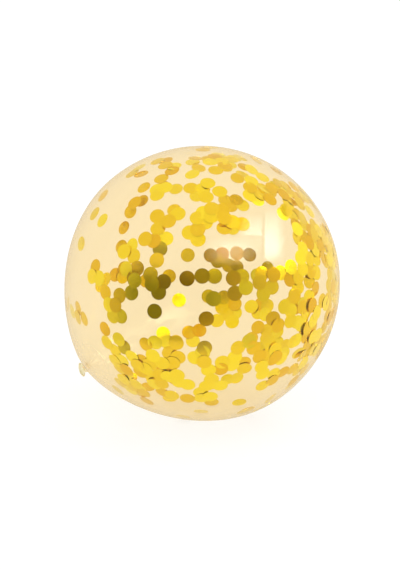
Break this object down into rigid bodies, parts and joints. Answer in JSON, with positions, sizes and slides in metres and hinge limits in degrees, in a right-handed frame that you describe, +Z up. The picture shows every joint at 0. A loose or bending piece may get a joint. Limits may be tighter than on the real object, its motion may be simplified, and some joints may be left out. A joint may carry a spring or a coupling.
{
  "type": "confetti balloon",
  "caption": "Clear round latex balloon, blown up and tied in a knot, lying loose, with round gold foil confetti sealed inside and clinging to its wall.",
  "frame": {"origin": "middle of the underside of the bounding box, in the plane of the flat spot under the belly", "axes": "+Z up; +X towards the raised crown and -X towards the low knot, with the balloon's own axis in the XZ plane, 40 degrees above +X"},
  "size_m": [0.2618, 0.26, 0.2567],
  "materials": {
    "clear_latex": "gloss",
    "gold_foil": "polished"
  },
  "bodies": {
    "root": {"balloon": "clear_latex"}
  },
  "joints": []
}
